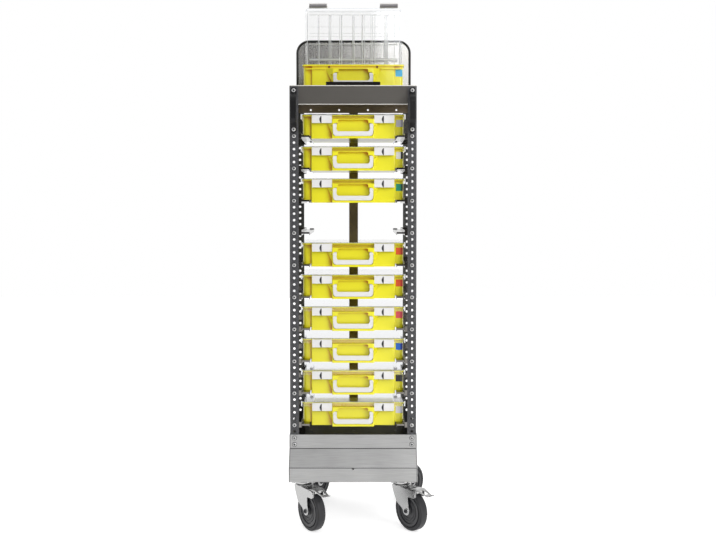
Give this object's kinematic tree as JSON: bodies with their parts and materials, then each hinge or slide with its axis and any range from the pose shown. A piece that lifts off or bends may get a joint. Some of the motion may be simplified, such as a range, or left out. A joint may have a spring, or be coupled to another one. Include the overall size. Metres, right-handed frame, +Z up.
{
  "type": "organizer case trolley",
  "caption": "Narrow rack on swivel casters with flat organizer cases on runners, an empty level, and an open case with a clear lid on the top tray.",
  "frame": {"origin": "on the floor, below the middle of the rack's four posts", "axes": "+X to the right as seen from the front, +Y from the front to the rear, +Z up"},
  "size_m": [0.4472, 0.4542, 1.6974],
  "materials": {
    "post_steel": "speckled grey enamel",
    "sheet_steel": "brushed",
    "zinc": "bright zinc plate",
    "black_steel": "satin black",
    "black_plastic": "fine grain",
    "yellow_plastic": "smooth moulding",
    "grey_plastic": "smooth moulding",
    "clear_plastic": "clear moulding",
    "wheel_rubber": "matt"
  },
  "bodies": {
    "rack": {"posts": "post_steel", "base_pan": "sheet_steel", "top_tray": "sheet_steel", "rear_strap": "sheet_steel", "guard_hoop": "black_steel", "guard_panel": "sheet_steel", "runners": "sheet_steel", "grips": "black_plastic", "frame_screws": "zinc", "caster_plates": "zinc"},
    "fork_front_left": {"fork_front_left": "zinc"},
    "wheel_front_left": {"wheel_front_left": "wheel_rubber"},
    "brake_pedal_front_left": {"brake_pedal_front_left": "zinc"},
    "fork_front_right": {"fork_front_right": "zinc"},
    "wheel_front_right": {"wheel_front_right": "wheel_rubber"},
    "brake_pedal_front_right": {"brake_pedal_front_right": "zinc"},
    "fork_rear_left": {"fork_rear_left": "zinc"},
    "wheel_rear_left": {"wheel_rear_left": "wheel_rubber"},
    "fork_rear_right": {"fork_rear_right": "zinc"},
    "wheel_rear_right": {"wheel_rear_right": "wheel_rubber"},
    "case_1": {"case_1_base": "yellow_plastic", "case_1_lid": "clear_plastic"},
    "case_1_handle": {"case_1_handle": "grey_plastic"},
    "case_1_latches": {"case_1_latches": "grey_plastic"},
    "case_2": {"case_2_base": "yellow_plastic", "case_2_lid": "clear_plastic"},
    "case_2_handle": {"case_2_handle": "grey_plastic"},
    "case_2_latches": {"case_2_latches": "grey_plastic"},
    "case_3": {"case_3_base": "yellow_plastic", "case_3_lid": "clear_plastic"},
    "case_3_handle": {"case_3_handle": "grey_plastic"},
    "case_3_latches": {"case_3_latches": "grey_plastic"},
    "case_4": {"case_4_base": "yellow_plastic", "case_4_lid": "clear_plastic"},
    "case_4_handle": {"case_4_handle": "grey_plastic"},
    "case_4_latches": {"case_4_latches": "grey_plastic"},
    "case_5": {"case_5_base": "yellow_plastic", "case_5_lid": "clear_plastic"},
    "case_5_handle": {"case_5_handle": "grey_plastic"},
    "case_5_latches": {"case_5_latches": "grey_plastic"},
    "case_6": {"case_6_base": "yellow_plastic", "case_6_lid": "clear_plastic"},
    "case_6_handle": {"case_6_handle": "grey_plastic"},
    "case_6_latches": {"case_6_latches": "grey_plastic"},
    "case_7": {"case_7_base": "yellow_plastic", "case_7_lid": "clear_plastic"},
    "case_7_handle": {"case_7_handle": "grey_plastic"},
    "case_7_latches": {"case_7_latches": "grey_plastic"},
    "case_8": {"case_8_base": "yellow_plastic", "case_8_lid": "clear_plastic"},
    "case_8_handle": {"case_8_handle": "grey_plastic"},
    "case_8_latches": {"case_8_latches": "grey_plastic"},
    "case_9": {"case_9_base": "yellow_plastic", "case_9_lid": "clear_plastic"},
    "case_9_handle": {"case_9_handle": "grey_plastic"},
    "case_9_latches": {"case_9_latches": "grey_plastic"},
    "open_case": {"open_case_base": "yellow_plastic"},
    "open_case_handle": {"open_case_handle": "grey_plastic"},
    "open_case_lid": {"open_case_lid": "clear_plastic"},
    "open_case_latches": {"open_case_latches": "grey_plastic"}
  },
  "joints": [
    {"name": "swivel_front_left", "type": "hinge", "parent": "rack", "child": "fork_front_left", "pos_m": [-0.155, -0.12, 0.133], "axis": [0, 0, 1], "continuous": true},
    {"name": "roll_front_left", "type": "hinge", "parent": "fork_front_left", "child": "wheel_front_left", "pos_m": [-0.13008, -0.15626, 0.0625], "axis": [-0.8241, -0.5664, 0], "continuous": true},
    {"name": "brake_front_left", "type": "hinge", "parent": "fork_front_left", "child": "brake_pedal_front_left", "pos_m": [-0.12102, -0.16945, 0.128], "axis": [0.8241, 0.5664, 0], "range_deg": [0, 12]},
    {"name": "swivel_front_right", "type": "hinge", "parent": "rack", "child": "fork_front_right", "pos_m": [0.155, -0.12, 0.133], "axis": [0, 0, 1], "continuous": true},
    {"name": "roll_front_right", "type": "hinge", "parent": "fork_front_right", "child": "wheel_front_right", "pos_m": [0.18209, -0.15467, 0.0625], "axis": [-0.788, -0.6157, 0], "continuous": true},
    {"name": "brake_front_right", "type": "hinge", "parent": "fork_front_right", "child": "brake_pedal_front_right", "pos_m": [0.19194, -0.16728, 0.128], "axis": [0.788, 0.6157, 0], "range_deg": [0, 12]},
    {"name": "swivel_rear_left", "type": "hinge", "parent": "rack", "child": "fork_rear_left", "pos_m": [-0.155, 0.12, 0.133], "axis": [0, 0, 1], "continuous": true},
    {"name": "roll_rear_left", "type": "hinge", "parent": "fork_rear_left", "child": "wheel_rear_left", "pos_m": [-0.12945, 0.15582, 0.0625], "axis": [0.8141, -0.5807, 0], "continuous": true},
    {"name": "swivel_rear_right", "type": "hinge", "parent": "rack", "child": "fork_rear_right", "pos_m": [0.155, 0.12, 0.133], "axis": [0, 0, 1], "continuous": true},
    {"name": "roll_rear_right", "type": "hinge", "parent": "fork_rear_right", "child": "wheel_rear_right", "pos_m": [0.18821, 0.14887, 0.0625], "axis": [0.6561, -0.7547, 0], "continuous": true},
    {"name": "case_1_slide", "type": "slide", "parent": "rack", "child": "case_1", "axis": [0, -1, 0], "range_m": [-0.06, 0.25]},
    {"name": "case_1_bail", "type": "hinge", "parent": "case_1", "child": "case_1_handle", "pos_m": [0, -0.1415, 1.2635], "axis": [-1, 0, 0], "range_deg": [0, 90]},
    {"name": "case_1_catch", "type": "hinge", "parent": "case_1", "child": "case_1_latches", "pos_m": [0, -0.1415, 1.2935], "axis": [-1, 0, 0], "range_deg": [0, 120]},
    {"name": "case_2_slide", "type": "slide", "parent": "rack", "child": "case_2", "axis": [0, -1, 0], "range_m": [-0.06, 0.25]},
    {"name": "case_2_bail", "type": "hinge", "parent": "case_2", "child": "case_2_handle", "pos_m": [0, -0.1415, 1.1635], "axis": [-1, 0, 0], "range_deg": [0, 90]},
    {"name": "case_2_catch", "type": "hinge", "parent": "case_2", "child": "case_2_latches", "pos_m": [0, -0.1415, 1.1935], "axis": [-1, 0, 0], "range_deg": [0, 120]},
    {"name": "case_3_slide", "type": "slide", "parent": "rack", "child": "case_3", "axis": [0, -1, 0], "range_m": [-0.06, 0.25]},
    {"name": "case_3_bail", "type": "hinge", "parent": "case_3", "child": "case_3_handle", "pos_m": [0, -0.1415, 1.0635], "axis": [-1, 0, 0], "range_deg": [0, 90]},
    {"name": "case_3_catch", "type": "hinge", "parent": "case_3", "child": "case_3_latches", "pos_m": [0, -0.1415, 1.0935], "axis": [-1, 0, 0], "range_deg": [0, 120]},
    {"name": "case_4_slide", "type": "slide", "parent": "rack", "child": "case_4", "axis": [0, -1, 0], "range_m": [-0.06, 0.25]},
    {"name": "case_4_bail", "type": "hinge", "parent": "case_4", "child": "case_4_handle", "pos_m": [0, -0.1415, 0.8635], "axis": [-1, 0, 0], "range_deg": [0, 90]},
    {"name": "case_4_catch", "type": "hinge", "parent": "case_4", "child": "case_4_latches", "pos_m": [0, -0.1415, 0.8935], "axis": [-1, 0, 0], "range_deg": [0, 120]},
    {"name": "case_5_slide", "type": "slide", "parent": "rack", "child": "case_5", "axis": [0, -1, 0], "range_m": [-0.06, 0.25]},
    {"name": "case_5_bail", "type": "hinge", "parent": "case_5", "child": "case_5_handle", "pos_m": [0, -0.1415, 0.7635], "axis": [-1, 0, 0], "range_deg": [0, 90]},
    {"name": "case_5_catch", "type": "hinge", "parent": "case_5", "child": "case_5_latches", "pos_m": [0, -0.1415, 0.7935], "axis": [-1, 0, 0], "range_deg": [0, 120]},
    {"name": "case_6_slide", "type": "slide", "parent": "rack", "child": "case_6", "axis": [0, -1, 0], "range_m": [-0.06, 0.25]},
    {"name": "case_6_bail", "type": "hinge", "parent": "case_6", "child": "case_6_handle", "pos_m": [0, -0.1415, 0.6635], "axis": [-1, 0, 0], "range_deg": [0, 90]},
    {"name": "case_6_catch", "type": "hinge", "parent": "case_6", "child": "case_6_latches", "pos_m": [0, -0.1415, 0.6935], "axis": [-1, 0, 0], "range_deg": [0, 120]},
    {"name": "case_7_slide", "type": "slide", "parent": "rack", "child": "case_7", "axis": [0, -1, 0], "range_m": [-0.06, 0.25]},
    {"name": "case_7_bail", "type": "hinge", "parent": "case_7", "child": "case_7_handle", "pos_m": [0, -0.1415, 0.5635], "axis": [-1, 0, 0], "range_deg": [0, 90]},
    {"name": "case_7_catch", "type": "hinge", "parent": "case_7", "child": "case_7_latches", "pos_m": [0, -0.1415, 0.5935], "axis": [-1, 0, 0], "range_deg": [0, 120]},
    {"name": "case_8_slide", "type": "slide", "parent": "rack", "child": "case_8", "axis": [0, -1, 0], "range_m": [-0.06, 0.25]},
    {"name": "case_8_bail", "type": "hinge", "parent": "case_8", "child": "case_8_handle", "pos_m": [0, -0.1415, 0.4635], "axis": [-1, 0, 0], "range_deg": [0, 90]},
    {"name": "case_8_catch", "type": "hinge", "parent": "case_8", "child": "case_8_latches", "pos_m": [0, -0.1415, 0.4935], "axis": [-1, 0, 0], "range_deg": [0, 120]},
    {"name": "case_9_slide", "type": "slide", "parent": "rack", "child": "case_9", "axis": [0, -1, 0], "range_m": [-0.06, 0.25]},
    {"name": "case_9_bail", "type": "hinge", "parent": "case_9", "child": "case_9_handle", "pos_m": [0, -0.1415, 0.3635], "axis": [-1, 0, 0], "range_deg": [0, 90]},
    {"name": "case_9_catch", "type": "hinge", "parent": "case_9", "child": "case_9_latches", "pos_m": [0, -0.1415, 0.3935], "axis": [-1, 0, 0], "range_deg": [0, 120]},
    {"name": "open_case_lift", "type": "slide", "parent": "rack", "child": "open_case", "axis": [0, 0, 1], "range_m": [0, 0.15]},
    {"name": "open_case_bail", "type": "hinge", "parent": "open_case", "child": "open_case_handle", "pos_m": [0, -0.0975, 1.426], "axis": [-1, 0, 0], "range_deg": [0, 90]},
    {"name": "open_case_lid_hinge", "type": "hinge", "parent": "open_case", "child": "open_case_lid", "pos_m": [0, 0.13, 1.456], "axis": [1, 0, 0], "range_deg": [0, 93.7]},
    {"name": "open_case_catch", "type": "hinge", "parent": "open_case_lid", "child": "open_case_latches", "pos_m": [0, 0.14468, 1.68303], "axis": [1, 0, 0], "range_deg": [-92, 28]}
  ]
}
